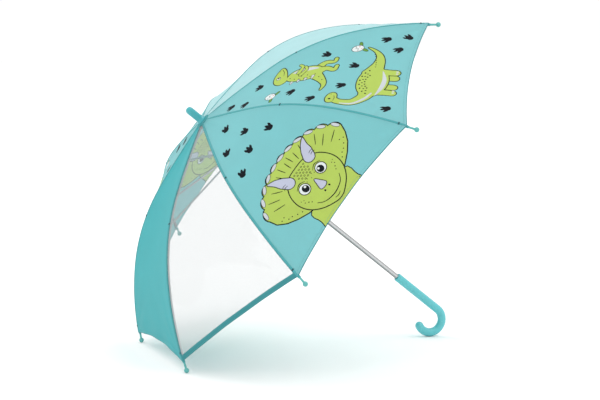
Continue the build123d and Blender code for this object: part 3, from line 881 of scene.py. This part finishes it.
def make_gore(panel):
    """A gore's two halves, a and b, which meet on its fold line."""
    flat, triangles, colour, middle_x = gore_layout(panel)
    # A plain gore's colour comes from the table above, which holds painted light and painted shade.
    base = FILM if panel in WINDOWS else cloth(f"cloth {panel}", CLOTH_COLOURS_WITH_PAINTED_LIGHT[panel], 0.46)
    halves = []
    for half, sign in (("a", -1), ("b", 1)):
        chosen = (middle_x * sign) > 0
        used, inverse = np.unique(triangles[chosen], return_inverse=True)
        mesh = Mesh()
        add_cloth(mesh, panel, flat[used], inverse.reshape(-1, 3), colour[chosen])
        add_hem_stitches(mesh, panel, sign)
        thing = mesh.build(f"gore_{panel}{half}", [base, *GORE_MATERIALS])
        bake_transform(thing)
        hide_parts(f"panel_{panel}{half}")
        halves.append(thing)
    return halves


def tube(mesh, slot, path, radius, sides=8):
    """A round thread through points."""
    path = np.asarray(path, float)
    up = np.array([0.3, 0.5, 0.81])
    rings = []
    for p, d in zip(path, np.gradient(path, axis=0)):
        side = unit(np.cross(unit(d), up))
        over = np.cross(side, unit(d))
        angles = np.linspace(0, 2 * pi, sides, endpoint=False)
        rings.append([p + radius * (cos(a) * side + sin(a) * over) for a in angles])
    mesh.add(np.concatenate(rings), ring_faces(len(path), sides), slot)


# Where the thread ties are along the rib, and a corner pocket's rings and stitches: each is a place along the
# rib, a half width, a half height and a depth under the cloth.
TIE_STATIONS = (188.0, 392.0)
POCKET_SIDES = 20
POCKET_PROFILE = ((-9.5, 1.75, 1.5, 1.5), (-8.8, 2.35, 2.0, 1.75), (-6, 2.5, 2.15, 2.1), (-3, 2.4, 2.2, 2.35),
                  (-0.8, 2.3, 2.2, 2.55), (1.2, 2.25, 2.2, 2.65), (2.2, 2.1, 2.0, 2.7), (2.3, 1.8, 1.75, 2.7))
POCKET_STITCHES = ((-7.2, 2.5, 2.15, 2.0), (0.2, 2.32, 2.24, 2.6))


def seam_line(rib, c, y, lift):
    """A line beside a rib at c millimetres from its plane, negative on the previous gore."""
    panel = rib if c > 0 else (rib - 2) % RIBS + 1
    x = (half_width(y) - abs(c)) * (-1 if c > 0 else 1)
    return cloth_point(panel, x, y, lift)


def thread_ties(mesh, rib):
    """The loops of thread that hold the canopy to its rib."""
    offsets = (-2.3, -2.1, -1.5, -0.6, 0.6, 1.5, 2.1, 2.3)
    lifts = (-0.6, 0.3, 0.62, 0.8, 0.8, 0.62, 0.3, -0.6)
    for station in TIE_STATIONS:
        for k in range(3):
            row = float(at_station(station)) + (k - 1) * 0.75
            path = []
            for i, (c, lift) in enumerate(zip(offsets, lifts)):
                path.append(seam_line(rib, c, np.array([row + 0.25 * (i % 2)]), lift)[0][0])
            tube(mesh, 2, path, 0.3 * MM)


def make_seam(rib):
    """The folded strip over two gores' edges, its two rows of stitches and its thread ties."""
    mesh = Mesh()
    y = np.concatenate([np.linspace(float(at_station(10)), 60, 18), np.arange(64, 380.4, 4.0), [380.7]])
    spread = ramp(y, 8, 40) * 0.5 + 0.5
    columns = [(-1.9, 0.03), (-1.3, 0.42), (-0.5, 0.55), (0.5, 0.55), (1.3, 0.42), (1.9, 0.03),
               (1.9, -0.1), (0.5, -0.1), (-0.5, -0.1), (-1.9, -0.1)]
    across = np.stack([seam_line(rib, c, y, lift)[0] for c, lift in columns], 1)
    centre = across.mean(1, keepdims=True)
    across = centre + (across - centre) * spread[:, None, None]
    mesh.add(across.reshape(-1, 3), ring_faces(len(y), len(columns)), 0)
    for c in (-1.05, 1.05):
        points, normals = seam_line(rib, c, y[6:], 0.47)
        stitch_row(mesh, 1, points, normals, 2.6 * MM, 0.66, 0.15 * MM)
    thread_ties(mesh, rib)
    thing = mesh.build(f"seam_{rib}", [SEAM, THREAD, TIE])
    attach(thing, f"rib {rib}")
    return thing


def make_corner(rib):
    """The folded cloth pocket that holds the canopy's corner on the rib's end."""
    mesh = Mesh()
    out, turn = OUT[rib - 1], TURN[rib - 1]
    k = np.searchsorted(DOME[:, 0], DOME_LENGTH - 1)
    a, b = DOME[k - 8], DOME[-1]
    direction = unit((b[1] - a[1]) * out + (b[2] - a[2]) * AXIS)
    normal = unit((b[2] - a[2]) * out - (b[1] - a[1]) * AXIS)
    corner = APEX + MM * (b[1] * out + b[2] * AXIS)

    def middle(along, drop):
        return corner + direction * along * MM - normal * drop * MM

    rings = []
    for along, wide, tall, drop in POCKET_PROFILE:
        for k in range(POCKET_SIDES):
            t = 2 * pi * k / POCKET_SIDES
            ripple = 1 + 0.035 * sin(5 * t + along)
            rings.append(middle(along, drop) + MM * ripple * (wide * cos(t) * turn + tall * sin(t) * normal))
    mesh.add(np.array(rings), ring_faces(len(POCKET_PROFILE), POCKET_SIDES), 0)
    for along, wide, tall, drop in POCKET_STITCHES:
        for k in range(10):
            t0, t1 = 2 * pi * k / 10, 2 * pi * (k + 0.62) / 10
            start, end = (middle(along, drop) + MM * (wide * cos(t) * turn + tall * sin(t) * normal)
                          for t in (t0, t1))
            t = (t0 + t1) / 2
            stitch(mesh, 1, start, end, unit(cos(t) * turn + sin(t) * normal), 0.16 * MM)
    thing = mesh.build(f"corner_{rib}", [SEAM, THREAD])
    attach(thing, f"rib {rib}")
    return thing


def make_rosette():
    """The pinked cloth disc under the ferrule's flange."""
    mesh = Mesh()
    angles, radii = 96, (8.3, 9.6, 11.0, 12.2, 13.0)
    points, normals = [], []
    for k in range(angles):
        whole = 2 * pi * k / angles
        panel = int(whole / (2 * HALF)) % RIBS + 1
        local = whole - (panel - 1) * 2 * HALF - HALF
        for j, radius in enumerate(radii):
            rho = radius + (0.45 * (1 if k % 2 else -1) if j == len(radii) - 1 else 0)
            u, x = rho * cos(local), rho * sin(local)
            y = float(np.interp(u, MID_U, MID_Y))
            p, n = cloth_point(panel, [x], [y], 0.72 - 0.12 * (j == len(radii) - 1))
            points.append(p[0])
            normals.append(n[0])
    points, normals = np.array(points), np.array(normals)
    count = len(points)
    below = points - normals * 0.3 * MM
    rows = len(radii)
    faces = []
    for k in range(angles):
        for j in range(rows - 1):
            a, b = k * rows + j, ((k + 1) % angles) * rows + j
            faces.append((a, a + 1, b + 1, b))
            faces.append((b + count, b + 1 + count, a + 1 + count, a + count))
        a, b = k * rows, ((k + 1) % angles) * rows
        faces.append((b, b + count, a + count, a))
        a, b = k * rows + rows - 1, ((k + 1) % angles) * rows + rows - 1
        faces.append((a, a + count, b + count, b))
    mesh.add(np.concatenate([points, below]), faces, 0)
    thing = mesh.build("rosette", [SEAM])
    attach(thing, "shaft")


# ---- the canopy ----
gores = {panel: make_gore(panel) for panel in range(1, RIBS + 1)}
seams = {rib: make_seam(rib) for rib in range(1, RIBS + 1)}
pockets = {rib: make_corner(rib) for rib in range(1, RIBS + 1)}
make_rosette()

# ---- materials of the CAD nodes ----
# The direction that the steel tube's painted reflection faces, across the shaft and towards the camera's side.
painted_highlight_from = np.array((-0.3336, -0.9375, 0.35))
across_shaft = unit(painted_highlight_from - AXIS * float(painted_highlight_from @ AXIS))
LOOKS = {
    "steel_tube": metal("polished steel tube with painted reflection", (205, 206, 207), 0.24, 0.95, painted_reflection_axis=across_shaft),
    "rib_steel": metal("galvanised rib", (186, 190, 193), 0.34, 0.85, 140.0),
    "wire": metal("bright wire", (160, 164, 168), 0.25),
    "handle": plastic("handle plastic", (92, 188, 194), 0.26),
    "ferrule": plastic("ferrule plastic", (58, 165, 172), 0.3),
    "tips": plastic("tip plastic", (84, 170, 166), 0.3),
    "crown_plastic": plastic("white fitting plastic", (226, 230, 230), 0.36)}
for node, slot_name in SLOTS.items():
    look = LOOKS.get(slot_name)
    thing = frame["nodes"][node]
    if look and not thing.hide_render:
        for slot in thing.material_slots:
            slot.material = look


# ---- floor, light and camera ----
def make_floor(half_side, rgb):
    a = half_side
    mesh = bpy.data.meshes.new("floor")
    mesh.from_pydata([(-a, -a, 0), (a, -a, 0), (a, a, 0), (-a, a, 0)], [], [(0, 1, 2, 3)])
    t = Tree("floor")
    body = t.mix(t.noise(t.on_object(), 0.6), scaled(linear(rgb), 0.995), linear(rgb))
    mesh.materials.append(t.finish(t.add("ShaderNodeBsdfPrincipled", {
        "Base Color": body, "Roughness": 0.9, "Specular IOR Level": 0.1}).outputs[0]))
    thing = bpy.data.objects.new("floor", mesh)
    bpy.context.scene.collection.objects.link(thing)


make_floor(30, (247, 247, 247))

scene = bpy.context.scene
scene.view_settings.view_transform = "Standard"
scene.view_settings.look = "None"
world = bpy.data.worlds.new("studio")
scene.world = world
world.use_nodes = True
background = world.node_tree.nodes["Background"].inputs
background["Color"].default_value = (1.0, 1.0, 1.0, 1)
background["Strength"].default_value = 1.02


def sun(name, toward, strength, spread, glossy=True):
    """A sun that shines toward a direction; glossy is whether it is seen in reflections."""
    data = bpy.data.lights.new(name, "SUN")
    data.energy = strength
    data.angle = radians(spread)
    thing = bpy.data.objects.new(name, data)
    scene.collection.objects.link(thing)
    thing.rotation_euler = Vector(toward).to_track_quat("-Z", "Y").to_euler()
    thing.visible_glossy = glossy


sun("key", (-0.45, 0.25, -1.0), 0.75, 40)
sun("sparkle", (0.55, 0.45, -0.75), 0.22, 7)
sun("back", (0.3, -0.85, -0.5), 1.0, 40, glossy=False)

camera_data = bpy.data.cameras.new("camera")
camera = bpy.data.objects.new("camera", camera_data)
scene.collection.objects.link(camera)
scene.camera = camera
camera_data.sensor_width = 36
camera_data.lens = 100.5
camera_data.clip_end = 100
# The camera's own axes and its place from the canopy's crown, in metres.
view_right = Vector((0.9417, -0.3363, -0.0117))
view_up = Vector((0.0442, 0.089, 0.995))
view_back = Vector((-0.3336, -0.9375, 0.0987))
view_from = Vector((-0.752265, -2.57763, 0.136145))
turn = Matrix((view_right, view_up, view_back)).transposed()
camera.matrix_world = Matrix.Translation(Vector(APEX) + view_from) @ turn.to_4x4()
